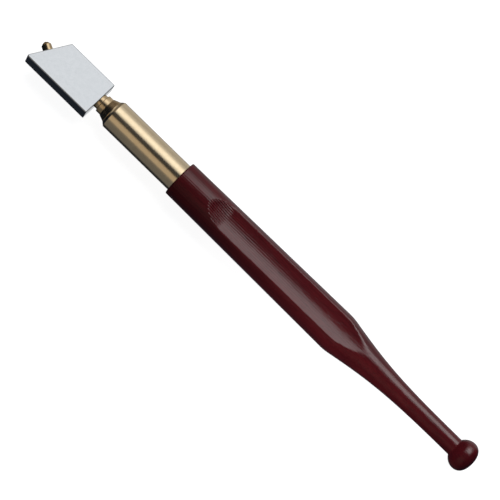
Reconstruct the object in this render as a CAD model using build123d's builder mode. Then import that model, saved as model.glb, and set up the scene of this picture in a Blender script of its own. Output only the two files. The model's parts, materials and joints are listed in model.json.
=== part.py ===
"""Diamond glass cutter with a swivelling guide head, as an assembly of separate pieces.

The tool lies along X with the cutting head at -X and the knob at +X. The two finger rests
of the handle face +Z and -Z. The origin is the bottom centre of the whole tool.
Stations are measured along the tool from the head's square end, positive towards the knob.
All sizes are in millimetres.
"""
import os
from math import asin, atan2, cos, degrees, radians, sin

from build123d import *

os.makedirs("parts", exist_ok=True)

# ---------------------------------------------------------------- driving dimensions
INCH = 25.4
FERRULE_R = 3 / 8 * INCH / 2        # 3/8 in brass tube
FERRULE_BORE_R = 3.95
HEAD_WIDTH = 1 / 2 * INCH           # 1/2 x 3/16 in steel bar
HEAD_THICKNESS = 3 / 16 * INCH
HEAD_LONG = 24.2                    # square end to the acute tip
HEAD_SHORT = 17.5                   # square end to the obtuse corner
HEAD_OFFSET = 0.5                   # the long edge stands this much further from the axis
HEAD_AT_REST = 8.2                  # degrees the head is swivelled from neutral, towards +Y
SWIVEL_STOP = 25.0                  # degrees each side of neutral

# radii of the handle
HANDLE_FRONT_R = 5.90
WIDEST_R = 6.49
TAIL_START_R = 5.88
TAIL_R = 2.90
KNOB_R = 4.90
KNOB_FRONT_LENGTH = 4.37            # half-axis of the knob's front ellipse along the tool

# stations along the tool
COLLAR_END = 0.95
NOSE_START = 1.1
NECK_END = 2.85
FERRULE_START = 4.8
FERRULE_EDGE = 5.8
HANDLE_START = 32.4
SCOOP_START = 43.1
SCOOP_FLAT = 52.1
SCOOP_RISE = 94.6
SCOOP_END = 108.1
WIDEST = 97.6
TAIL_START = 101.0
TAIL_END = 140.6
KNOB_WIDEST = 148.4
KNOB_END = 151.9
CREASE = KNOB_WIDEST - KNOB_FRONT_LENGTH * cos(asin(TAIL_R / KNOB_R))

# the tool's axis in the object's frame
HEAD_END_X = (HEAD_LONG - KNOB_END) / 2
AXIS_HEIGHT = 6.01                  # the handle's round front rests on the table

# swivel spindle, inside the nose and the ferrule
COLLAR_R = 2.42
JOURNAL_R = 1.75
RUNNING_CLEARANCE = 0.04
TANG_R = 1.45
TANG_DEPTH = 8.0
THREAD_R = 1.25
JOURNAL_END = 12.6
SPINDLE_END = 18.4
SPINDLE_END_CHAMFER = 0.3

# nose bush
NECK_R = 2.96
FLARE_R = 3.12
NECK_CHAMFER = 0.12
MOUTH_R = 3.85
BUSH_END = 11.0
WASHER_R = 2.37

# stop pin and its window in the bush
STOP_STATION = 8.5
STOP_PIN_R = 0.5
STOP_PIN_REACH = 3.5
STOP_PIN_FOOT = 1.65                # how far its foot goes past the spindle's axis
STOP_PLAY = 0.02

# spring, washer and nuts
SPRING_R = 2.45
SPRING_WIRE_R = 0.22
SPRING_PITCH = 1.0
SPRING_TURNS = 3
SEAT_STATION = 14.6
SEAT_THICKNESS = 0.4
SEAT_R = 3.2
NUT_THICKNESS = 1.6
NUT_ACROSS_FLATS = 5.0
TENON_START = 19.2

# cross pins
TANG_PIN_STATION = -4.0
TANG_PIN_R = 0.6
TANG_PIN_LENGTH = 4.0
FERRULE_PIN_STATION = 26.0
FERRULE_PIN_R = 0.6
FERRULE_PIN_LENGTH = 4.2
FERRULE_PIN_CROWN = 0.25

# diamond holder, square to the sole of the head
HOLDER_R = 1.5
HOLDER_STRAIGHT = 2.15
HOLDER_TIP = 3.0
HOLDER_TIP_R = 0.75
HOLDER_DEPTH = 6.0
HOLDER_ACROSS = -0.3                # where its axis crosses the sole, across the head
SOLDER_RING_R = 1.8
SOLDER_RING_HEIGHT = 0.25
SEAT_POCKET_R = 0.6
SEAT_POCKET_DEPTH = 0.9
DIAMOND_R = 0.5
DIAMOND_LENGTH = 0.8
DIAMOND_POINT = 0.3

# ---------------------------------------------------------------- planes and axes
# On tool_plane, local x is the station and local y the distance from the tool's axis.
tool_origin = Vector(HEAD_END_X, 0, AXIS_HEIGHT)
tool_plane = Plane(origin=tool_origin, x_dir=(1, 0, 0), z_dir=(0, -1, 0))
tool_axis = Axis(tool_origin, (1, 0, 0))

# The head's mid-plane: local x is the station, local y runs across the head.
lean = radians(HEAD_AT_REST)
head_plane = Plane(origin=tool_origin, x_dir=(1, 0, 0), z_dir=(0, sin(lean), cos(lean)))

# The sole slants from the acute tip on the low edge to the obtuse corner on the high edge.
LOW_EDGE = -HEAD_WIDTH / 2 - HEAD_OFFSET
HIGH_EDGE = HEAD_WIDTH / 2 - HEAD_OFFSET
SLANT = atan2(HEAD_LONG - HEAD_SHORT, HEAD_WIDTH)
SOLE_STATION = -HEAD_LONG + (HOLDER_ACROSS - LOW_EDGE) * (HEAD_LONG - HEAD_SHORT) / HEAD_WIDTH

# Out of the sole: sole_plane faces along the holder, and on holder_plane local x runs out
# along the holder and local y is the distance from its axis.
holder_origin = head_plane.from_local_coords(Vector(SOLE_STATION, HOLDER_ACROSS, 0))
holder_direction = head_plane.x_dir * -cos(SLANT) + head_plane.y_dir * sin(SLANT)
sole_plane = Plane(origin=holder_origin, x_dir=head_plane.z_dir, z_dir=holder_direction)
holder_plane = Plane(origin=holder_origin, x_dir=holder_direction, z_dir=head_plane.z_dir)
holder_axis = Axis(holder_origin, holder_direction)


def across(station):
    """Plane square to the tool at a station: local x is +Y and local y is +Z."""
    return Plane(origin=tool_origin + Vector(station, 0, 0), x_dir=(0, 1, 0), z_dir=(1, 0, 0))


def save(part, label):
    """Name one finished piece and write it."""
    part.label = label
    export_step(part, f"parts/{label}.step")


# ---------------------------------------------------------------- handle
# One turned piece of hardwood: tenon, grip, waisted tail and knob, with two finger rests.
FRONT_EDGE_ROUND = 0.4
SHOULDER_ROUND = 22.0
TAIL_CURVE = ((12.2, -2.18), (20.0, TAIL_R - TAIL_START_R))   # its poles, from the tail's start
KNOB_BACK_CURVE = ((2.1, KNOB_R), (KNOB_END - KNOB_WIDEST, 3.2))   # from the widest station
SCOOP_FLOOR = 3.88                  # height of the finger rest's floor above the axis
SCOOP_RISE_FLOOR = 4.42
SCOOP_END_FLOOR = 4.98
SCOOP_START_HEIGHT = 6.75
SCOOP_HOLLOW_R = 14.0               # the finger rest is hollow across, to this radius
scoop_axis_height = SCOOP_FLOOR + SCOOP_HOLLOW_R

with BuildPart() as scoop:
    with BuildSketch(tool_plane):
        with BuildLine():
            floor = Line((SCOOP_FLAT, SCOOP_FLOOR), (SCOOP_RISE, SCOOP_RISE_FLOOR))
            TangentArc(
                (SCOOP_FLAT, SCOOP_FLOOR),
                (SCOOP_START, SCOOP_START_HEIGHT),
                tangent=(floor @ 0) - (floor @ 1),
            )
            TangentArc(
                (SCOOP_RISE, SCOOP_RISE_FLOOR),
                (SCOOP_END, SCOOP_END_FLOOR),
                tangent=(floor @ 1) - (floor @ 0),
            )
            Polyline(
                (SCOOP_START, SCOOP_START_HEIGHT),
                (SCOOP_START, scoop_axis_height),
                (SCOOP_END, scoop_axis_height),
                (SCOOP_END, SCOOP_END_FLOOR),
            )
        make_face()
    revolve(axis=Axis(tool_origin + Vector(0, 0, scoop_axis_height), (1, 0, 0)))

with BuildPart() as handle:
    with BuildSketch(tool_plane) as outline:
        with BuildLine():
            Polyline(
                (TENON_START, 0),
                (TENON_START, FERRULE_BORE_R),
                (HANDLE_START, FERRULE_BORE_R),
                (HANDLE_START, HANDLE_FRONT_R),
                (WIDEST, WIDEST_R),
                (TAIL_START, TAIL_START_R),
            )
            Bezier(
                (TAIL_START, TAIL_START_R),
                *((TAIL_START + step, TAIL_START_R + rise) for step, rise in TAIL_CURVE),
                (TAIL_END, TAIL_R),
            )
            Line((TAIL_END, TAIL_R), (CREASE, TAIL_R))
            EllipticalCenterArc(
                (KNOB_WIDEST, 0),
                KNOB_FRONT_LENGTH,
                KNOB_R,
                start_angle=90,
                arc_size=90 - degrees(asin(TAIL_R / KNOB_R)),
            )
            Bezier(
                (KNOB_WIDEST, KNOB_R),
                *((KNOB_WIDEST + step, radius) for step, radius in KNOB_BACK_CURVE),
                (KNOB_END, 0),
            )
            Line((KNOB_END, 0), (TENON_START, 0))
        make_face()
        corners = outline.vertices()
        fillet(corners.sort_by_distance((HANDLE_START, HANDLE_FRONT_R))[0], FRONT_EDGE_ROUND)
        fillet(corners.sort_by_distance((WIDEST, WIDEST_R))[0], SHOULDER_ROUND)
    revolve(axis=tool_axis)
    mirrored_scoop = mirror(scoop.part, about=Plane(tool_origin, z_dir=(0, 0, 1)), mode=Mode.PRIVATE)
    add(scoop.part, mode=Mode.SUBTRACT)
    add(mirrored_scoop, mode=Mode.SUBTRACT)
    with BuildSketch(Plane.XY.offset(AXIS_HEIGHT - FERRULE_BORE_R)):
        with Locations((HEAD_END_X + FERRULE_PIN_STATION, 0)):
            Circle(FERRULE_PIN_R)
    extrude(amount=FERRULE_PIN_LENGTH - FERRULE_R + FERRULE_BORE_R, mode=Mode.SUBTRACT)
save(handle.part, "handle")

# ---------------------------------------------------------------- ferrule and its pin
with BuildPart() as ferrule:
    with BuildSketch(tool_plane):
        Polygon(
            (FERRULE_START, FERRULE_BORE_R),
            (FERRULE_EDGE, FERRULE_R),
            (HANDLE_START, FERRULE_R),
            (HANDLE_START, FERRULE_BORE_R),
            align=None,
        )
    revolve(axis=tool_axis)
    with BuildSketch(Plane.XY):
        with Locations((HEAD_END_X + FERRULE_PIN_STATION, 0)):
            Circle(FERRULE_PIN_R)
    extrude(amount=AXIS_HEIGHT, mode=Mode.SUBTRACT)
save(ferrule.part, "ferrule")

# A brass pin driven up through the ferrule into the tenon, its rounded head standing proud.
with BuildPart() as ferrule_pin:
    with BuildSketch(Plane.XY.offset(AXIS_HEIGHT - FERRULE_R - FERRULE_PIN_CROWN)):
        with Locations((HEAD_END_X + FERRULE_PIN_STATION, 0)):
            Circle(FERRULE_PIN_R)
    extrude(amount=FERRULE_PIN_CROWN + FERRULE_PIN_LENGTH)
    fillet(ferrule_pin.edges().sort_by(Axis.Z)[0], FERRULE_PIN_CROWN)
save(ferrule_pin.part, "ferrule_pin")

# ---------------------------------------------------------------- nose bush and thrust washer
# The bush is pressed into the mouth of the ferrule. Its window stops the head's swivel.
with BuildPart() as nose_bush:
    with BuildSketch(tool_plane):
        Polygon(
            (NOSE_START, JOURNAL_R + RUNNING_CLEARANCE),
            (NOSE_START, NECK_R - NECK_CHAMFER),
            (NOSE_START + NECK_CHAMFER, NECK_R),
            (NECK_END, NECK_R),
            (NECK_END, FLARE_R),
            (FERRULE_START, MOUTH_R),
            (FERRULE_START, FERRULE_BORE_R),
            (BUSH_END, FERRULE_BORE_R),
            (BUSH_END, JOURNAL_R + RUNNING_CLEARANCE),
            align=None,
        )
    revolve(axis=tool_axis)
    with BuildSketch(across(STOP_STATION)):
        for side in (-1, 1):
            Rectangle(
                2 * (STOP_PIN_R + STOP_PLAY),
                FERRULE_R,
                rotation=side * SWIVEL_STOP,
                align=(Align.CENTER, Align.MIN),
            )
        make_hull()
    extrude(amount=STOP_PIN_R + RUNNING_CLEARANCE, both=True, mode=Mode.SUBTRACT)
save(nose_bush.part, "nose_bush")

with BuildPart() as thrust_washer:
    with BuildSketch(across(COLLAR_END)):
        Circle(WASHER_R)
        Circle(JOURNAL_R + RUNNING_CLEARANCE, mode=Mode.SUBTRACT)
    extrude(amount=NOSE_START - COLLAR_END)
save(thrust_washer.part, "thrust_washer")

# ---------------------------------------------------------------- spring, seat washer and nuts
# The spring bears on the bush and pulls the head's collar back against the nose.
spring_start = (BUSH_END + SEAT_STATION - SPRING_PITCH * SPRING_TURNS) / 2
with BuildPart() as swivel_spring:
    with BuildLine():
        coil = Helix(
            pitch=SPRING_PITCH,
            height=SPRING_PITCH * SPRING_TURNS,
            radius=SPRING_R,
            center=tool_origin + Vector(spring_start, 0, 0),
            direction=(1, 0, 0),
        )
    with BuildSketch(Plane(origin=coil @ 0, z_dir=coil % 0)):
        Circle(SPRING_WIRE_R)
    sweep(path=coil, is_frenet=True)
save(swivel_spring.part, "swivel_spring")

with BuildPart() as spring_washer:
    with BuildSketch(across(SEAT_STATION)):
        Circle(SEAT_R)
        Circle(THREAD_R, mode=Mode.SUBTRACT)
    extrude(amount=SEAT_THICKNESS)
save(spring_washer.part, "spring_washer")

for number, label in enumerate(("spindle_nut", "lock_nut")):
    with BuildPart() as nut:
        with BuildSketch(across(SEAT_STATION + SEAT_THICKNESS + number * NUT_THICKNESS)):
            RegularPolygon(NUT_ACROSS_FLATS / 2, side_count=6, major_radius=False)
            Circle(THREAD_R, mode=Mode.SUBTRACT)
        extrude(amount=NUT_THICKNESS)
    save(nut.part, label)

# ---------------------------------------------------------------- spindle and its pins
with BuildPart() as stop_pin:
    with BuildSketch(head_plane.offset(-STOP_PIN_FOOT)):
        with Locations((STOP_STATION, 0)):
            Circle(STOP_PIN_R)
    extrude(amount=STOP_PIN_FOOT + STOP_PIN_REACH)
save(stop_pin.part, "stop_pin")

# The tang pin goes in from the back of the head, through the tang.
with BuildPart() as tang_pin:
    with BuildSketch(head_plane.offset(-HEAD_THICKNESS / 2)):
        with Locations((TANG_PIN_STATION, 0)):
            Circle(TANG_PIN_R)
    extrude(amount=TANG_PIN_LENGTH)
save(tang_pin.part, "tang_pin")

with BuildPart() as swivel_spindle:
    with BuildSketch(tool_plane):
        Polygon(
            (-TANG_DEPTH, 0),
            (-TANG_DEPTH, TANG_R),
            (0, TANG_R),
            (0, COLLAR_R),
            (COLLAR_END, COLLAR_R),
            (COLLAR_END, JOURNAL_R),
            (JOURNAL_END, JOURNAL_R),
            (JOURNAL_END, THREAD_R),
            (SPINDLE_END - SPINDLE_END_CHAMFER, THREAD_R),
            (SPINDLE_END, THREAD_R - SPINDLE_END_CHAMFER),
            (SPINDLE_END, 0),
            align=None,
        )
    revolve(axis=tool_axis)
    add(stop_pin.part, mode=Mode.SUBTRACT)
    add(tang_pin.part, mode=Mode.SUBTRACT)
save(swivel_spindle.part, "swivel_spindle")

# ---------------------------------------------------------------- head block
ACUTE_TIP_ROUND = 0.5
CORNER_ROUND = 0.3
EDGE_CHAMFER = 0.25

with BuildPart() as head_block:
    with BuildSketch(head_plane):
        Polygon(
            (0, LOW_EDGE),
            (0, HIGH_EDGE),
            (-HEAD_SHORT, HIGH_EDGE),
            (-HEAD_LONG, LOW_EDGE),
            align=None,
        )
    extrude(amount=HEAD_THICKNESS / 2, both=True)
    corner_edges = head_block.edges().filter_by(Axis(tool_origin, head_plane.z_dir))
    corner_edges = corner_edges.sort_by(Axis.X)
    fillet(corner_edges[0], ACUTE_TIP_ROUND)
    fillet(corner_edges[1:], CORNER_ROUND)
    broad_faces = head_block.faces().sort_by(SortBy.AREA)[-2:]
    chamfer(broad_faces.edges(), EDGE_CHAMFER)
    with BuildSketch(across(0)):
        Circle(TANG_R)
    extrude(amount=-TANG_DEPTH, mode=Mode.SUBTRACT)
    with BuildSketch(sole_plane):
        Circle(HOLDER_R)
    extrude(amount=-HOLDER_DEPTH, mode=Mode.SUBTRACT)
    add(tang_pin.part, mode=Mode.SUBTRACT)
save(head_block.part, "head_block")

# ---------------------------------------------------------------- diamond and its holder
with BuildPart() as diamond:
    with BuildSketch(sole_plane.offset(HOLDER_TIP - DIAMOND_LENGTH)):
        RegularPolygon(DIAMOND_R, side_count=4)
    extrude(amount=DIAMOND_LENGTH)
    point_face = diamond.faces().sort_by(holder_axis)[-1]
    extrude(point_face, amount=DIAMOND_POINT, taper=45)
save(diamond.part, "diamond")

with BuildPart() as diamond_holder:
    with BuildSketch(holder_plane):
        Polygon(
            (-HOLDER_DEPTH, 0),
            (-HOLDER_DEPTH, HOLDER_R),
            (HOLDER_STRAIGHT, HOLDER_R),
            (HOLDER_TIP, HOLDER_TIP_R),
            (HOLDER_TIP, 0),
            align=None,
        )
    revolve(axis=holder_axis)
    with BuildSketch(sole_plane.offset(HOLDER_TIP)):
        Circle(SEAT_POCKET_R)
    extrude(amount=-SEAT_POCKET_DEPTH, mode=Mode.SUBTRACT)
save(diamond_holder.part, "diamond_holder")

# Silver solder fills the pocket around the diamond.
with BuildPart() as diamond_solder:
    with BuildSketch(sole_plane.offset(HOLDER_TIP)):
        Circle(SEAT_POCKET_R)
    extrude(amount=-SEAT_POCKET_DEPTH)
    add(diamond.part, mode=Mode.SUBTRACT)
save(diamond_solder.part, "diamond_solder")

with BuildPart() as holder_solder:
    with BuildSketch(holder_plane):
        Polygon(
            (0, HOLDER_R),
            (0, SOLDER_RING_R),
            (SOLDER_RING_HEIGHT, HOLDER_R),
            align=None,
        )
    revolve(axis=holder_axis)
save(holder_solder.part, "holder_solder")
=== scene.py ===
"""Looks of the diamond glass cutter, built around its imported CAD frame.

Pieces are drawn in millimetres along the tool: a station runs from the head's square end
towards the knob, and a radius is measured from the tool's axis. MM turns them into metres.
"""
import json
from math import atan2, ceil, cos, dist, pi, radians, sin, sqrt, tan

import bmesh
import bpy
from mathutils import Matrix, Vector


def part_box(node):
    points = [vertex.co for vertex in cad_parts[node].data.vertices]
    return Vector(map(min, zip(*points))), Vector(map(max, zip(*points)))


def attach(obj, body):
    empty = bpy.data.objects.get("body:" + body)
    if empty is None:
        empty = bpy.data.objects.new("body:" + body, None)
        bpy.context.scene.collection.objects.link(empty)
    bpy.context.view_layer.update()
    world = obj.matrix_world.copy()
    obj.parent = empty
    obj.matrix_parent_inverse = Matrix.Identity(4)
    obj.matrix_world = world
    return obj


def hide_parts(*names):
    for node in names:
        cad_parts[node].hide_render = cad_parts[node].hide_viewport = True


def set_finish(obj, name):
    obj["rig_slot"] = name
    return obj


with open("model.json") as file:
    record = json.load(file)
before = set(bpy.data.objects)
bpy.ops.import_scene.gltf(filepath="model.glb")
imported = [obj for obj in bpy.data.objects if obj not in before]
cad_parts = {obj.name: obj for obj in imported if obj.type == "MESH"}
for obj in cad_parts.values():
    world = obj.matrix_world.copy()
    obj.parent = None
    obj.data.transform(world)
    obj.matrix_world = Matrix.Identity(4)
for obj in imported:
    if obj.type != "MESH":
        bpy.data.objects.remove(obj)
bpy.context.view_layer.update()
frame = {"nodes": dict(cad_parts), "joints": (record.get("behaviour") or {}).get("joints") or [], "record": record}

MM = 0.001
NEAR_AXIS = 0.05                    # a turned solid's ends stop this far from its axis
TURNED_SEGMENTS = 128
record = frame["record"]
mounts = {mount["name"]: mount for mount in record["mounts"]}
swivel = frame["joints"][0]

# ---------------------------------------------------------------- the tool's own axes
# The joint gives the tool's axis, and the guide face gives the way the head faces.
ORIGIN = Vector(swivel["pos_m"])
ALONG = Vector(swivel["axis"])
HEAD_NORMAL = Vector(mounts["guide_face_front"]["axis"])
HEAD_ACROSS = HEAD_NORMAL.cross(ALONG)
neutral_turn = Matrix.Rotation(radians(sum(swivel["range_deg"]) / 2), 3, ALONG)
GRIP_NORMAL = neutral_turn @ HEAD_NORMAL
GRIP_ACROSS = neutral_turn @ HEAD_ACROSS


def station_of(x):
    """Station, in millimetres, of a place along the frame's X axis."""
    return (x - ORIGIN.x) / MM


def x_of(station):
    """Place along the frame's X axis of a station."""
    return ORIGIN.x + station * MM


def radius_of(node):
    """Largest radius, in millimetres, of a turned CAD node."""
    low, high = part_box(node)
    return (high.y - low.y) / 2 / MM


def round_place(station, radius, angle):
    """Place on the tool at an angle from the grip's normal, turning towards its across."""
    out = GRIP_NORMAL * cos(angle) + GRIP_ACROSS * sin(angle)
    return ORIGIN + ALONG * station * MM + out * radius * MM


def head_place(station, across, height):
    """Place in the head's own axes, in millimetres."""
    return ORIGIN + (ALONG * station + HEAD_ACROSS * across + HEAD_NORMAL * height) * MM


# ---------------------------------------------------------------- mesh making
def piece_from(name, mesh, body, slot, *nodes):
    """Make an object of a finished bmesh that rides on a body and stands for CAD nodes."""
    bmesh.ops.recalc_face_normals(mesh, faces=mesh.faces)
    data = bpy.data.meshes.new(name)
    mesh.to_mesh(data)
    mesh.free()
    data.shade_smooth()
    piece = bpy.data.objects.new(name, data)
    bpy.context.scene.collection.objects.link(piece)
    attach(piece, body)
    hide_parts(*nodes)
    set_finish(piece, slot)
    return piece


def keep_flats_flat(piece):
    """Shade large flat faces flat, so that only the small edge rounds bend the light."""
    modifier = piece.modifiers.new("flat faces", "WEIGHTED_NORMAL")
    modifier.weight = 100
    return piece


def softened(points, radius, steps=4):
    """Round every inner corner of an open outline with an arc."""
    soft = [points[0]]
    for before, corner, after in zip(points, points[1:], points[2:]):
        to_before = Vector(before) - Vector(corner)
        to_after = Vector(after) - Vector(corner)
        half = to_before.angle(to_after) / 2
        reach = min(radius / tan(half), to_before.length * 0.45, to_after.length * 0.45)
        arc_radius = reach * tan(half)
        bisector = (to_before.normalized() + to_after.normalized()).normalized()
        centre = Vector(corner) + bisector * arc_radius / sin(half)
        start = Vector(corner) + to_before.normalized() * reach - centre
        end = Vector(corner) + to_after.normalized() * reach - centre
        sweep = atan2(start.cross(end), start.dot(end))
        for step in range(steps + 1):
            soft.append(tuple(centre + Matrix.Rotation(sweep * step / steps, 2) @ start))
    soft.append(points[-1])
    return soft


def skin(mesh, rings, closed_ends=True):
    """Join equal rings of vertices with quads, and close the ends with fans."""
    for low, high in zip(rings, rings[1:]):
        for index in range(len(low)):
            following = (index + 1) % len(low)
            mesh.faces.new((low[index], low[following], high[following], high[index]))
    if closed_ends:
        for ring in (rings[0], rings[-1]):
            middle = mesh.verts.new(sum((v.co for v in ring), Vector()) / len(ring))
            for index in range(len(ring)):
                mesh.faces.new((ring[index], ring[(index + 1) % len(ring)], middle))


def turned_about(start, direction, side, outline, segments=TURNED_SEGMENTS):
    """Mesh turned about an axis from an outline of distances along it and radii."""
    mesh = bmesh.new()
    up = direction.cross(side)
    rings = []
    for distance, radius in outline:
        ring = []
        for index in range(segments):
            angle = 2 * pi * index / segments
            out = side * cos(angle) + up * sin(angle)
            ring.append(mesh.verts.new(start + (direction * distance + out * radius) * MM))
        rings.append(ring)
    return mesh, rings


def turned_solid(start, direction, side, outline, segments=TURNED_SEGMENTS):
    """Closed solid turned from an outline whose ends lie near the axis."""
    mesh, rings = turned_about(start, direction, side, outline, segments)
    skin(mesh, rings)
    return mesh


def turned_ring(start, direction, side, outline, segments=TURNED_SEGMENTS):
    """Closed ring turned from an outline that goes right round its section."""
    mesh, rings = turned_about(start, direction, side, outline, segments)
    skin(mesh, rings + [rings[0]], closed_ends=False)
    return mesh


# ---------------------------------------------------------------- handle
HANDLE_START = station_of(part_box("ferrule")[1].x)
KNOB_END = station_of(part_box("handle")[1].x)
TENON_START = station_of(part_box("handle")[0].x)
TENON_R = 3.95                      # fills the ferrule's bore
FRONT_R = 5.90
FRONT_ROUND = 0.4
WIDEST = 97.6
WIDEST_R = 6.49
GRIP_TAPER = (WIDEST_R - FRONT_R) / (WIDEST - HANDLE_START)
SHOULDER_ROUND = 22.0
TAIL_START = 101.0
TAIL_START_R = 5.88
TAIL_END = 140.6
TAIL_R = 2.90
TAIL_CURVE = (
    (TAIL_START, TAIL_START_R),
    (TAIL_START + 12.2, TAIL_START_R - 2.18),
    (TAIL_START + 20.0, TAIL_R),
    (TAIL_END, TAIL_R),
)
KNOB_R = 4.90
KNOB_WIDEST = 148.4
KNOB_FRONT_LENGTH = 4.37
KNOB_BACK_CURVE = (
    (KNOB_WIDEST, KNOB_R),
    (KNOB_WIDEST + 2.1, KNOB_R),
    (KNOB_END, 3.2),
    (KNOB_END, 0),
)
CREASE = KNOB_WIDEST - KNOB_FRONT_LENGTH * sqrt(1 - (TAIL_R / KNOB_R) ** 2)

SCOOP_START = 43.1
SCOOP_FLAT = 52.1
SCOOP_RISE = 94.6
SCOOP_END = 108.1
SCOOP_START_HEIGHT = 6.75
SCOOP_FLOOR = 3.88
SCOOP_RISE_FLOOR = 4.42
SCOOP_END_FLOOR = 4.98
SCOOP_HOLLOW_R = 14.0
SCOOP_EDGE_SOFTNESS = 0.45

HANDLE_SEGMENTS = 192
FRONT_LENGTH = 1.0                  # the grip's evenly spaced rings start this far in
FRONT_STEPS = 6
SHOULDER_STEPS = 12
GRIP_SPACING = 0.3                  # between the mesh's rings
TAIL_SPACING = 0.5
TAIL_STEPS = 80
KNOB_STEPS = 24


def bezier(points, t):
    """Point of a cubic curve at t from 0 to 1."""
    a, b, c, d = (Vector(p) for p in points)
    s = 1 - t
    return a * s**3 + b * 3 * s * s * t + c * 3 * s * t * t + d * t**3


def grip_place(distance):
    """Station and radius of the tapered grip at a distance from its front."""
    return (HANDLE_START + distance, FRONT_R + distance * GRIP_TAPER)


def handle_outline():
    """Stations and radii of the turned handle, from its tenon to the end of the knob."""
    front = [(HANDLE_START, TENON_R), grip_place(0), grip_place(FRONT_LENGTH)]
    outline = [(TENON_START, NEAR_AXIS), (TENON_START, TENON_R)]
    outline += softened(front, FRONT_ROUND, FRONT_STEPS)[:-1]
    shoulder = [grip_place(FRONT_LENGTH), (WIDEST, WIDEST_R), (TAIL_START, TAIL_START_R)]
    rounded = softened(shoulder, SHOULDER_ROUND, SHOULDER_STEPS)
    outline += between(rounded[0], rounded[1], GRIP_SPACING) + rounded[1:-1]
    outline += [tuple(bezier(TAIL_CURVE, step / TAIL_STEPS)) for step in range(TAIL_STEPS + 1)]
    outline += between((TAIL_END, TAIL_R), (CREASE, TAIL_R), TAIL_SPACING)[1:]
    start_angle = pi - atan2(TAIL_R / KNOB_R, (KNOB_WIDEST - CREASE) / KNOB_FRONT_LENGTH)
    for step in range(KNOB_STEPS + 1):
        angle = start_angle + (pi / 2 - start_angle) * step / KNOB_STEPS
        outline.append((KNOB_WIDEST + KNOB_FRONT_LENGTH * cos(angle), KNOB_R * sin(angle)))
    outline += [tuple(bezier(KNOB_BACK_CURVE, step / KNOB_STEPS)) for step in range(1, KNOB_STEPS)]
    return outline


def between(start, end, spacing):
    """Evenly spaced points on a straight line, without its end."""
    count = max(1, round(dist(start, end) / spacing))
    share = [step / count for step in range(count)]
    return [tuple(Vector(start).lerp(Vector(end), t)) for t in share]


def scoop_floor(station):
    """Height of the finger rest's floor above the axis: entry arc, straight, run-out arc."""
    slope = (SCOOP_RISE_FLOOR - SCOOP_FLOOR) / (SCOOP_RISE - SCOOP_FLAT)
    if station < SCOOP_FLAT:
        reach = SCOOP_FLAT - SCOOP_START
        rise = SCOOP_START_HEIGHT - SCOOP_FLOOR
        arc_radius = (reach**2 + rise**2) / (2 * rise)
        back = SCOOP_FLAT - station
        return SCOOP_FLOOR + arc_radius - sqrt(max(arc_radius**2 - back**2, 0))
    straight = SCOOP_FLOOR + slope * (station - SCOOP_FLAT)
    if station < SCOOP_RISE:
        return straight
    run = (station - SCOOP_RISE) / (SCOOP_END - SCOOP_RISE)
    extra = SCOOP_END_FLOOR - (SCOOP_RISE_FLOOR + slope * (SCOOP_END - SCOOP_RISE))
    return straight + extra * run * run


def scoop_radius(station, angle):
    """Distance from the axis to a finger rest, straight up at angle 0, or None beside it."""
    if not SCOOP_START <= station <= SCOOP_END:
        return None
    middle = SCOOP_FLOOR + SCOOP_HOLLOW_R
    roll = middle - scoop_floor(station)
    under_root = (middle * cos(angle)) ** 2 - (middle**2 - roll**2)
    if cos(angle) <= 0 or under_root <= 0:
        return None
    return middle * cos(angle) - sqrt(under_root)


def softer_of_two(a, b, softness):
    """The smaller of two distances, with the corner between them rounded."""
    share = max(softness - abs(a - b), 0) / softness
    return min(a, b) - share * share * softness / 4


def handle_piece():
    """The wooden handle: a turned grip with two opposite finger rests, tail and knob."""
    mesh = bmesh.new()
    rings = []
    for station, radius in handle_outline():
        ring = []
        for index in range(HANDLE_SEGMENTS):
            angle = 2 * pi * index / HANDLE_SEGMENTS
            distance = radius
            for side in (angle, angle - pi):
                rest = scoop_radius(station, side)
                if rest is not None:
                    distance = softer_of_two(distance, rest, SCOOP_EDGE_SOFTNESS)
            ring.append(mesh.verts.new(round_place(station, distance, angle)))
        rings.append(ring)
    skin(mesh, rings)
    return piece_from("wooden_handle", mesh, "handle", "lacquered_wood", "handle")


# ---------------------------------------------------------------- brass and steel pieces
def turned_piece(name, outline, body, slot, node, softness, ring=False):
    """A piece turned about the tool's axis, with its corners broken."""
    if ring:
        closed = outline + outline[:2]
        soft = softened(closed, softness)[1:-1]
        mesh = turned_ring(ORIGIN, ALONG, GRIP_NORMAL, soft)
    else:
        mesh = turned_solid(ORIGIN, ALONG, GRIP_NORMAL, softened(outline, softness))
    return keep_flats_flat(piece_from(name, mesh, body, slot, node))


FERRULE_START = station_of(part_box("ferrule")[0].x)
FERRULE_BEVEL = 1.0
FERRULE_R = radius_of("ferrule")
FERRULE_SOFTNESS = 0.1


def ferrule_piece():
    """Brass tube with a bevelled mouth."""
    outline = [
        (FERRULE_START, TENON_R),
        (FERRULE_START + FERRULE_BEVEL, FERRULE_R),
        (HANDLE_START, FERRULE_R),
        (HANDLE_START, TENON_R),
    ]
    return turned_piece(
        "brass_ferrule", outline, "handle", "brass", "ferrule", FERRULE_SOFTNESS, ring=True
    )


NOSE_START = station_of(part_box("nose_bush")[0].x)
BUSH_END = station_of(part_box("nose_bush")[1].x)
NOSE_BORE_R = 1.79
NECK_R = 2.96
NECK_CHAMFER = 0.12
NECK_END = 2.85
FLARE_R = 3.12
MOUTH_R = 3.85
TURNED_SOFTNESS = 0.05


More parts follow.
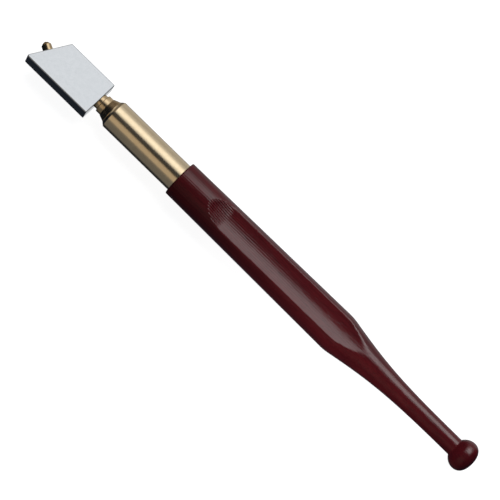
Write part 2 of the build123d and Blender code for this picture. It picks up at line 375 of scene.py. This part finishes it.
def nose_piece():
    """Turned brass nose: a neck, a small step and a flare into the ferrule's mouth."""
    outline = [
        (NOSE_START, NOSE_BORE_R),
        (NOSE_START, NECK_R - NECK_CHAMFER),
        (NOSE_START + NECK_CHAMFER, NECK_R),
        (NECK_END, NECK_R),
        (NECK_END, FLARE_R),
        (FERRULE_START, MOUTH_R),
        (FERRULE_START, TENON_R),
        (BUSH_END, TENON_R),
        (BUSH_END, NOSE_BORE_R),
    ]
    return turned_piece(
        "brass_nose", outline, "handle", "brass_dark", "nose_bush", TURNED_SOFTNESS, ring=True
    )


COLLAR_R = radius_of("swivel_spindle")
COLLAR_END = NOSE_START - 0.05
TANG_R = 1.45
JOURNAL_R = 1.75
JOURNAL_END = 12.6
THREAD_R = 1.25
THREAD_PITCH = 0.45
THREAD_DEPTH = 0.2
THREAD_START = JOURNAL_END + 0.3
THREAD_CHAMFER = 0.3
SPINDLE_START = station_of(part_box("swivel_spindle")[0].x)
SPINDLE_END = station_of(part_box("swivel_spindle")[1].x)
LAST_TURN = SPINDLE_END - 0.5       # no turn of the thread starts past here
THREAD_TURNS = ceil((LAST_TURN - THREAD_START) / THREAD_PITCH)


def spindle_piece():
    """Spindle that the head turns on: tang, collar, journal and threaded end."""
    outline = [
        (SPINDLE_START, NEAR_AXIS),
        (SPINDLE_START, TANG_R),
        (0, TANG_R),
        (0, COLLAR_R),
        (COLLAR_END, COLLAR_R),
        (COLLAR_END, JOURNAL_R),
        (JOURNAL_END, JOURNAL_R),
        (JOURNAL_END, THREAD_R),
    ]
    for turn in range(THREAD_TURNS):
        crest = THREAD_START + turn * THREAD_PITCH
        outline += [(crest, THREAD_R), (crest + THREAD_PITCH / 2, THREAD_R - THREAD_DEPTH)]
    outline += [
        (THREAD_START + THREAD_TURNS * THREAD_PITCH, THREAD_R),
        (SPINDLE_END, THREAD_R - THREAD_CHAMFER),
        (SPINDLE_END, NEAR_AXIS),
    ]
    return turned_piece(
        "swivel_spindle_turned", outline, "head", "brass_dark", "swivel_spindle", TURNED_SOFTNESS
    )


# ---------------------------------------------------------------- head
HEAD_THICKNESS = (
    Vector(mounts["guide_face_front"]["pos_m"]) - Vector(mounts["guide_face_back"]["pos_m"])
).length / MM
HEAD_WIDTH = 12.7
HEAD_OFFSET = 0.5
HEAD_LONG = 24.2
HEAD_SHORT = 17.5
HEAD_EDGE = 0.3
EDGE_STEPS = 5
HEAD_CORNER_ROUNDS = (0.3, 0.3, 0.3, 0.5)
CORNER_STEPS = 6
SMALLEST_ROUND = 0.02
LOW_EDGE = -HEAD_WIDTH / 2 - HEAD_OFFSET
HIGH_EDGE = HEAD_WIDTH / 2 - HEAD_OFFSET
SLANT = atan2(HEAD_LONG - HEAD_SHORT, HEAD_WIDTH)


def sole_station(across):
    """Station of the slanted sole at a distance across the head."""
    return -HEAD_LONG + (across - LOW_EDGE) * tan(SLANT)


def head_outline(inset):
    """Corners of the head drawn in by an inset, each with its round."""
    square_end = -inset
    low = LOW_EDGE + inset
    high = HIGH_EDGE - inset
    sole_start, sole_end = (sole_station(across) + inset / cos(SLANT) for across in (low, high))
    corners = [(square_end, low), (square_end, high), (sole_end, high), (sole_start, low)]
    outline = []
    for index, (corner, corner_round) in enumerate(zip(corners, HEAD_CORNER_ROUNDS)):
        trio = [corners[index - 1], corner, corners[(index + 1) % len(corners)]]
        remaining_round = max(corner_round - inset, SMALLEST_ROUND)
        outline += softened(trio, remaining_round, CORNER_STEPS)[1:-1]
    return outline


def head_piece():
    """Steel guide head: a slanted plate with rounded corners and broken edges."""
    mesh = bmesh.new()
    rings = []
    for side in (-1, 1):
        for step in range(EDGE_STEPS + 1):
            angle = pi / 2 * (step if side < 0 else EDGE_STEPS - step) / EDGE_STEPS
            inset = HEAD_EDGE * (1 - sin(angle))
            height = side * (HEAD_THICKNESS / 2 - HEAD_EDGE * (1 - cos(angle)))
            rings.append([mesh.verts.new(head_place(u, v, height)) for u, v in head_outline(inset)])
    skin(mesh, rings)
    return keep_flats_flat(piece_from("steel_head", mesh, "head", "polished_steel", "head_block"))


# ---------------------------------------------------------------- diamond and its holder
HOLDER_ACROSS = -0.3
HOLDER_FOOT = head_place(sole_station(HOLDER_ACROSS), HOLDER_ACROSS, 0)
HOLDER_OUT = HEAD_ACROSS * sin(SLANT) - ALONG * cos(SLANT)
HOLDER_R = 1.5
HOLDER_DEPTH = 6.0
HOLDER_STRAIGHT = 2.15
HOLDER_TIP = 3.0
HOLDER_TIP_ROUND = 0.1
HOLDER_TIP_R = 0.80
HOLDER_SOFTNESS = 0.12
HOLDER_SEGMENTS = 96
POCKET_R = 0.6
POCKET_DEPTH = 0.3
BEAD_R = POCKET_R - 0.05
BEAD_DEPTH = 0.7
BEAD_TOP = 0.02
BEAD_TOP_R = 0.35
BEAD_SOFTNESS = 0.1
BEAD_SEGMENTS = 64
FILLET_HEIGHT = 0.25
FILLET_WIDTH = 0.3
FILLET_WAIST = (0.07, 0.12)         # height above the sole, and distance out from the stub
FILLET_OVERLAP = (0.05, 0.1)        # down into the sole, and in under the stub's side


def holder_pieces():
    """Brass stub in the sole, its coned end closed round the diamond's solder."""
    stub = [
        (-HOLDER_DEPTH, NEAR_AXIS),
        (-HOLDER_DEPTH, HOLDER_R),
        (HOLDER_STRAIGHT, HOLDER_R),
        (HOLDER_TIP - HOLDER_TIP_ROUND, HOLDER_TIP_R),
        (HOLDER_TIP, POCKET_R),
        (HOLDER_TIP - POCKET_DEPTH, BEAD_R),
        (HOLDER_TIP - POCKET_DEPTH, NEAR_AXIS),
    ]
    outline = softened(stub, HOLDER_SOFTNESS)
    mesh = turned_solid(HOLDER_FOOT, HOLDER_OUT, HEAD_NORMAL, outline, HOLDER_SEGMENTS)
    holder = piece_from("brass_diamond_holder", mesh, "head", "brass_dark", "diamond_holder")
    solder = [
        (HOLDER_TIP - BEAD_DEPTH, NEAR_AXIS),
        (HOLDER_TIP - BEAD_DEPTH, BEAD_R),
        (HOLDER_TIP - HOLDER_TIP_ROUND, BEAD_R),
        (HOLDER_TIP + BEAD_TOP, BEAD_TOP_R),
        (HOLDER_TIP + BEAD_TOP, NEAR_AXIS),
    ]
    outline = softened(solder, BEAD_SOFTNESS)
    mesh = turned_solid(HOLDER_FOOT, HOLDER_OUT, HEAD_NORMAL, outline, BEAD_SEGMENTS)
    bead = piece_from("diamond_solder_bead", mesh, "head", "solder", "diamond_solder")
    waist_height, waist_width = FILLET_WAIST
    down, under = FILLET_OVERLAP
    fillet = [
        (-down, HOLDER_R - under),
        (-down, HOLDER_R + FILLET_WIDTH),
        (0, HOLDER_R + FILLET_WIDTH),
        (waist_height, HOLDER_R + waist_width),
        (FILLET_HEIGHT, HOLDER_R),
        (FILLET_HEIGHT, HOLDER_R - under),
    ]
    mesh = turned_ring(HOLDER_FOOT, HOLDER_OUT, HEAD_NORMAL, fillet, HOLDER_SEGMENTS)
    ring = piece_from("holder_solder_fillet", mesh, "head", "solder", "holder_solder")
    return holder, bead, ring


handle = handle_piece()
ferrule = ferrule_piece()
nose = nose_piece()
spindle = spindle_piece()
head = head_piece()
holder, solder_bead, solder_fillet = holder_pieces()


# ---------------------------------------------------------------- materials
class Look:
    """A node material under construction."""

    def __init__(self, name):
        self.material = bpy.data.materials.new(name)
        self.material.use_nodes = True
        self.tree = self.material.node_tree
        self.shader = self.tree.nodes["Principled BSDF"]
        self.place = self.add("ShaderNodeTexCoord").outputs["Object"]

    def add(self, kind, **settings):
        node = self.tree.nodes.new(kind)
        for key, value in settings.items():
            setattr(node, key, value)
        return node

    def link(self, source, target):
        self.tree.links.new(source, target)

    def stretched(self, scale, rotation=(0, 0, 0)):
        """Object coordinates stretched by a scale along each axis."""
        mapping = self.add("ShaderNodeMapping")
        mapping.inputs["Scale"].default_value = scale
        mapping.inputs["Rotation"].default_value = rotation
        self.link(self.place, mapping.inputs["Vector"])
        return mapping.outputs["Vector"]

    def noise(self, scale, detail=4.0, roughness=0.55, distortion=0.0):
        """Noise stretched by a scale along each axis, from 0 to 1."""
        texture = self.add("ShaderNodeTexNoise")
        texture.inputs["Scale"].default_value = 1.0
        texture.inputs["Detail"].default_value = detail
        texture.inputs["Roughness"].default_value = roughness
        texture.inputs["Distortion"].default_value = distortion
        self.link(self.stretched(scale), texture.inputs["Vector"])
        return texture.outputs["Fac"]

    def ramp(self, value, *stops):
        """Colours or greys over a value, as (position, colour) stops."""
        node = self.add("ShaderNodeValToRGB")
        elements = node.color_ramp.elements
        while len(elements) < len(stops):
            elements.new(0.5)
        for element, (position, colour) in zip(elements, stops):
            element.position = position
            element.color = (*colour, 1) if isinstance(colour, tuple) else (colour,) * 3 + (1,)
        self.link(value, node.inputs["Fac"])
        return node.outputs["Color"]

    def range_of(self, value, low, high):
        """A value from 0 to 1 spread between two limits."""
        node = self.add("ShaderNodeMapRange")
        node.inputs["To Min"].default_value = low
        node.inputs["To Max"].default_value = high
        self.link(value, node.inputs["Value"])
        return node.outputs["Result"]

    def eased(self, value, source, target):
        """A value between two source limits, eased between two target limits."""
        node = self.add("ShaderNodeMapRange", interpolation_type="SMOOTHSTEP")
        for name, limit in zip(("From Min", "From Max", "To Min", "To Max"), source + target):
            node.inputs[name].default_value = limit
        self.link(value, node.inputs["Value"])
        return node.outputs["Result"]

    def product(self, first, second):
        """Two values multiplied."""
        node = self.add("ShaderNodeMath", operation="MULTIPLY")
        self.link(first, node.inputs[0])
        self.link(second, node.inputs[1])
        return node.outputs[0]

    def mixed(self, share, first, second):
        """Two colours mixed by a share."""
        node = self.add("ShaderNodeMix", data_type="RGBA")
        for source, target in ((share, 0), (first, 6), (second, 7)):
            if isinstance(source, (int, float)):
                node.inputs[target].default_value = source
            elif isinstance(source, tuple):
                node.inputs[target].default_value = (*source, 1)
            else:
                self.link(source, node.inputs[target])
        return node.outputs[2]

    def bump(self, height, strength, distance, under=None):
        """Normal from a height, on top of an earlier normal."""
        node = self.add("ShaderNodeBump")
        node.inputs["Strength"].default_value = strength
        node.inputs["Distance"].default_value = distance
        self.link(height, node.inputs["Height"])
        if under is not None:
            self.link(under, node.inputs["Normal"])
        return node.outputs["Normal"]

    def feed(self, **sockets):
        """Set or link the shader's sockets, whose names are given with underscores."""
        for name, value in sockets.items():
            socket = self.shader.inputs[name.replace("_", " ")]
            if isinstance(value, bpy.types.NodeSocket):
                self.link(value, socket)
            else:
                socket.default_value = (*value, 1) if isinstance(value, tuple) else value
        return self.material


# Noise waves for each metre, along and across the wood.
FIGURE_WAVES = (45, 420, 420)
PORE_WAVES = (260, 5200, 5200)
SURFACE_WAVES = (160, 1400, 1400)
BRUSH_WAVES = (500, 1500, 1500)
STAIN = (
    (0.25, (0.145, 0.0105, 0.0150)),
    (0.55, (0.205, 0.0140, 0.0195)),
    (0.80, (0.262, 0.0190, 0.0240)),
)
PORE_COLOUR = (0.040, 0.0020, 0.0045)
GRAIN_HEIGHT = 0.15 * MM
PORE_HEIGHT = 0.05 * MM
WAVE_HEIGHT = 0.12 * MM
BRUSH_HEIGHT = 0.06 * MM


def grain_ridges(look, station):
    """Height of the grain, which stands where the wood is cut across and is smooth at the tail."""
    layers = look.add("ShaderNodeTexWave", bands_direction="Y")
    layers.inputs["Scale"].default_value = 470
    layers.inputs["Distortion"].default_value = 2.5
    layers.inputs["Detail Scale"].default_value = 0.6
    place = look.stretched((0.05, 1, 0.2), (0, radians(2), radians(1.5)))
    look.link(place, layers.inputs["Vector"])
    slope = look.add("ShaderNodeVectorMath", operation="DOT_PRODUCT")
    look.link(look.add("ShaderNodeNewGeometry").outputs["Normal"], slope.inputs[0])
    slope.inputs[1].default_value = ALONG
    steep = look.add("ShaderNodeMath", operation="ABSOLUTE")
    look.link(slope.outputs["Value"], steep.inputs[0])
    cut_across = look.eased(steep.outputs[0], (0.03, 0.22), (0.10, 1.0))
    rubbed = look.eased(station, (x_of(SCOOP_FLAT), x_of(TAIL_START)), (1.0, 0.10))
    return look.product(look.product(layers.outputs["Fac"], cut_across), rubbed)


def wood_look():
    """Dark red stained hardwood with open pores, under gloss lacquer."""
    look = Look("lacquered red wood")
    figure = look.noise(FIGURE_WAVES, 5, 0.6, 0.4)
    stain = look.ramp(figure, *STAIN)
    pores = look.noise(PORE_WAVES, 3, 0.6, 0.3)
    pore_lines = look.ramp(pores, (0.36, 0.0), (0.47, 1.0))
    colour = look.mixed(look.range_of(pore_lines, 0.5, 0.0), stain, PORE_COLOUR)

    axes = look.add("ShaderNodeSeparateXYZ")
    look.link(look.place, axes.inputs[0])
    station = axes.outputs["X"]
    grained = look.bump(grain_ridges(look, station), 1.0, GRAIN_HEIGHT)
    pored = look.bump(pore_lines, 0.15, PORE_HEIGHT, grained)
    surface = look.bump(look.noise(SURFACE_WAVES, 3, 0.6), 0.27, WAVE_HEIGHT, pored)
    lacquer = look.bump(look.noise(BRUSH_WAVES, 3), 0.28, BRUSH_HEIGHT, surface)
    return look.feed(
        Base_Color=colour,
        Roughness=look.range_of(figure, 0.48, 0.36),
        Specular_IOR_Level=0.22,
        Specular_Tint=(1.0, 0.30, 0.30),
        Normal=surface,
        Coat_Weight=look.eased(station, (x_of(HANDLE_START), x_of(SCOOP_FLAT)), (0.6, 1.0)),
        Coat_Roughness=0.08,
        Coat_IOR=1.64,
        Coat_Normal=lacquer,
    )


MARK_HEIGHT = 0.02 * MM
TARNISH_SCALE = (900, 900, 900)
ROUND_MARKS = (9000, 60, 60)
LONG_MARKS = (60, 9000, 9000)
PITS = (2500, 2500, 2500)
FROSTING = (9000, 9000, 9000)


def metal_look(name, colours, roughness, turning, depth):
    """Metal with tool marks along or round the piece, and slight uneven tarnish."""
    look = Look(name)
    tarnish = look.noise(TARNISH_SCALE, 4, 0.6)
    colour = look.ramp(tarnish, (0.30, colours[0]), (0.70, colours[1]))
    marks = look.noise(turning, 3, 0.65)
    return look.feed(
        Base_Color=colour,
        Metallic=1.0,
        Roughness=look.range_of(marks, *roughness),
        Normal=look.bump(marks, depth, MARK_HEIGHT),
    )


looks = {
    "lacquered_wood": wood_look(),
    "brass": metal_look(
        "polished brass", ((0.71, 0.57, 0.375), (0.765, 0.625, 0.42)), (0.18, 0.25), LONG_MARKS, 0.10
    ),
    "brass_dark": metal_look(
        "aged brass", ((0.50, 0.36, 0.20), (0.72, 0.55, 0.34)), (0.20, 0.32), ROUND_MARKS, 0.15
    ),
    "bronze": metal_look(
        "bronze", ((0.36, 0.22, 0.12), (0.50, 0.32, 0.18)), (0.28, 0.40), ROUND_MARKS, 0.15
    ),
    "polished_steel": metal_look(
        "polished steel", ((0.434, 0.452, 0.469), (0.459, 0.476, 0.494)), (0.05, 0.09), LONG_MARKS, 0.01
    ),
    "plain_steel": metal_look(
        "turned steel", ((0.45, 0.46, 0.48), (0.58, 0.59, 0.61)), (0.22, 0.36), ROUND_MARKS, 0.15
    ),
    "spring_steel": metal_look(
        "spring wire", ((0.30, 0.31, 0.34), (0.42, 0.43, 0.47)), (0.25, 0.40), LONG_MARKS, 0.15
    ),
    "solder": metal_look(
        "silver solder", ((0.55, 0.54, 0.49), (0.70, 0.69, 0.64)), (0.25, 0.45), PITS, 0.3
    ),
}


def diamond_look():
    """Natural diamond, faintly yellow, with a slightly frosted crystal skin."""
    look = Look("natural diamond")
    skin_marks = look.noise(FROSTING, 4, 0.6)
    tint = look.ramp(skin_marks, (0.3, (0.80, 0.80, 0.70)), (0.7, (0.95, 0.95, 0.90)))
    return look.feed(
        Base_Color=tint,
        Roughness=look.range_of(skin_marks, 0.05, 0.25),
        Normal=look.bump(skin_marks, 0.15, MARK_HEIGHT),
        Transmission_Weight=0.85,
        IOR=2.42,
    )


looks["diamond"] = diamond_look()

slot_of_node = {entry["node"]: entry["material_slot"] for entry in record["subparts"]}
for node, cad_object in frame["nodes"].items():
    cad_object.data.materials.clear()
    cad_object.data.materials.append(looks[slot_of_node[node]])
for piece in (handle, ferrule, nose, spindle, head, holder, solder_bead, solder_fillet):
    piece.data.materials.append(looks[piece["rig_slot"]])

# ---------------------------------------------------------------- studio
VIEW_LEAN = radians(15.5)           # the grip's normal leans this far to one side of the view
VIEW_TIP = radians(0.5)             # and the knob end comes this much nearer
VIEW_ROLL = radians(44.31)          # the tool hangs this far below level in the picture
VIEW_DISTANCE = 0.643
VIEW_STATION = 61.9                 # the middle of the picture, along the tool
VIEW_SHIFT = -0.6                   # and across it, in millimetres
LENS = 158.4
SENSOR_WIDTH = 36
CLIP_LIMITS = (0.01, 20)
FLOOR_REACH = 4.0

side_up = GRIP_NORMAL * cos(VIEW_LEAN) - GRIP_ACROSS * sin(VIEW_LEAN)
picture_across = GRIP_ACROSS * cos(VIEW_LEAN) + GRIP_NORMAL * sin(VIEW_LEAN)
to_camera = side_up * cos(VIEW_TIP) + ALONG * sin(VIEW_TIP)
picture_along = ALONG * cos(VIEW_TIP) - side_up * sin(VIEW_TIP)
picture_right = picture_along * cos(VIEW_ROLL) + picture_across * sin(VIEW_ROLL)
picture_up = picture_across * cos(VIEW_ROLL) - picture_along * sin(VIEW_ROLL)

WARM = (1.0, 0.86, 0.68)
WHITE = (1.0, 1.0, 1.0)
BRIGHTEST = 1.45
# Degrees from the view round the tool, brightness there, and tint.
STUDIO_LEVELS = (
    (-180, 0.12, WHITE),
    (-150, 0.02, WHITE),
    (-120, 0.012, WHITE),
    (-75, 0.02, WARM),
    (-42, 0.09, WARM),
    (-25, 0.09, WARM),
    (-5, 0.03, WARM),
    (9, 0.035, WHITE),
    (24, 0.03, WHITE),
    (29, 0.16, WHITE),
    (33, 0.95, WHITE),
    (37, BRIGHTEST, WHITE),
    (55, BRIGHTEST, WHITE),
    (66, 1.15, WHITE),
    (78, 0.54, WHITE),
    (92, 0.20, WHITE),
    (150, 0.27, WHITE),
    (180, 0.12, WHITE),
)
WINDOW_LIMITS = (0.22, 0.58)        # how far along the tool the light reaches, as sines
ROOM_LEVEL = (0.006, 0.010, 0.018)
CARD_DISTANCE = 0.6


def receivers_of(name, *pieces):
    """Collection of pieces that some cards alone light."""
    collection = bpy.data.collections.new(name)
    for piece in pieces:
        collection.objects.link(piece)
    return collection


metal_pieces = receivers_of(
    "metal pieces", ferrule, nose, spindle, head, holder, solder_bead, solder_fillet
)
steel_pieces = receivers_of("steel pieces", head)


def turned_to(right, up, facing):
    """Rotation whose X, Y and Z axes are the given directions."""
    return Matrix((right, up, facing)).transposed().to_4x4()


def add_camera():
    """Camera at the photo's viewing angle."""
    data = bpy.data.cameras.new("camera")
    data.lens = LENS
    data.sensor_width = SENSOR_WIDTH
    data.clip_start, data.clip_end = CLIP_LIMITS
    camera = bpy.data.objects.new("camera", data)
    target = ORIGIN + ALONG * VIEW_STATION * MM + picture_across * VIEW_SHIFT * MM
    place = Matrix.Translation(target + to_camera * VIEW_DISTANCE)
    camera.matrix_world = place @ turned_to(picture_right, picture_up, to_camera)
    bpy.context.scene.collection.objects.link(camera)
    bpy.context.scene.camera = camera


def add_floor():
    """Plain pale table top under the tool, seen by the camera and not by its reflections."""
    mesh = bmesh.new()
    bmesh.ops.create_grid(mesh, x_segments=8, y_segments=8, size=FLOOR_REACH)
    data = bpy.data.meshes.new("table_top")
    mesh.to_mesh(data)
    mesh.free()
    floor = bpy.data.objects.new("table_top", data)
    bpy.context.scene.collection.objects.link(floor)
    floor.visible_glossy = False
    floor.visible_diffuse = False
    look = Look("pale table")
    speckle = look.noise((40, 40, 40), 3)
    paper = look.ramp(speckle, (0.3, 0.90), (0.7, 0.93))
    look.feed(Base_Color=paper, Roughness=0.9, Emission_Color=paper, Emission_Strength=1.0)
    data.materials.append(look.material)


def add_studio_light():
    """Soft studio round the tool: its brightness by the angle from the view, past each side.

    A positive angle goes towards the tool's upper right side in the picture.
    """
    world = bpy.data.worlds.new("studio")
    bpy.context.scene.world = world
    world.use_nodes = True
    nodes = world.node_tree.nodes
    links = world.node_tree.links

    def made(kind, *inputs, **settings):
        node = nodes.new(kind)
        for key, value in settings.items():
            setattr(node, key, value)
        for index, value in enumerate(inputs):
            if isinstance(value, bpy.types.NodeSocket):
                links.new(value, node.inputs[index])
            elif value is not None:
                node.inputs[index].default_value = value
        return node.outputs

    direction = made("ShaderNodeTexCoord")["Generated"]
    up, across, along = (
        made("ShaderNodeVectorMath", direction, axis, operation="DOT_PRODUCT")["Value"]
        for axis in (side_up, picture_across, ALONG)
    )
    turn = made("ShaderNodeMath", across, up, operation="ARCTAN2")[0]
    share = made("ShaderNodeMath", turn, 0.5 / pi, 0.5, operation="MULTIPLY_ADD")[0]
    glow = made("ShaderNodeValToRGB", share)
    ramp = glow["Color"].node.color_ramp
    ramp.interpolation = "EASE"
    ramp.elements.remove(ramp.elements[1])
    for index, (angle, level, tint) in enumerate(STUDIO_LEVELS):
        spot = ramp.elements.new(0.5 + angle / 360) if index else ramp.elements[0]
        spot.color = (*(level * part / BRIGHTEST for part in tint), 1)
    slope = made("ShaderNodeMath", along, operation="ABSOLUTE")[0]
    window = made(
        "ShaderNodeMapRange", slope, *WINDOW_LIMITS, BRIGHTEST, 0.0, interpolation_type="SMOOTHSTEP"
    )["Result"]
    lit = made("ShaderNodeVectorMath", glow["Color"], operation="SCALE")[0].node
    links.new(window, lit.inputs["Scale"])
    room = made("ShaderNodeVectorMath", lit.outputs[0], ROOM_LEVEL, operation="ADD")[0]
    seen = made("ShaderNodeLightPath")["Is Camera Ray"]
    picture = nodes.new("ShaderNodeMix")
    picture.data_type = "RGBA"
    picture.inputs[7].default_value = (*WHITE, 1)
    links.new(seen, picture.inputs[0])
    links.new(room, picture.inputs[6])
    links.new(picture.outputs[2], nodes["Background"].inputs["Color"])


def add_card(
    name, start, end, level, tint=WHITE, lean=0, station=VIEW_STATION, distance=CARD_DISTANCE,
    length=CARD_DISTANCE, receivers=metal_pieces,
):
    """Soft card beside the tool, between two angles from the view, leaning towards the head."""
    middle = radians(start + end) / 2
    beside = side_up * cos(middle) + picture_across * sin(middle)
    out = beside * cos(radians(lean)) - ALONG * sin(radians(lean))
    round_tool = picture_across * cos(middle) - side_up * sin(middle)
    data = bpy.data.lights.new(name, "AREA")
    data.shape = "RECTANGLE"
    data.size = length
    data.size_y = 2 * distance * tan(radians(end - start) / 2)
    data.color = tint
    data.energy = level * pi * data.size * data.size_y
    card = bpy.data.objects.new(name, data)
    centre = ORIGIN + ALONG * station * MM + out * distance
    card.matrix_world = Matrix.Translation(centre) @ turned_to(round_tool.cross(out), round_tool, out)
    card.visible_camera = False
    card.light_linking.receiver_collection = receivers
    bpy.context.scene.collection.objects.link(card)
    return card


add_camera()
add_floor()
add_studio_light()
add_card("warm_card", -50, -13, 0.45, WARM)
add_card("low_card", -118, -50, 0.14)
add_card("high_card", 80, 150, 0.28)
add_card("key_card", 20.5, 32, 0.75)
add_card("head_end_card", 72, 144, 0.21, WARM, lean=48, station=0, length=0.9)
add_card("sole_edge_card", 50, 110, 0.75, lean=60, station=0, receivers=steel_pieces)
add_card("under_card", 168, 192, 0.6, receivers=steel_pieces)
add_card("tail_card", 44, 76, 0.75, station=150, distance=0.2, length=0.09, receivers=None)
low_fill = add_card(
    "low_fill", -65, -35, 1.25, station=108, distance=0.05, length=0.065, receivers=None
)
low_fill.visible_glossy = False
bpy.context.scene.view_settings.view_transform = "Standard"
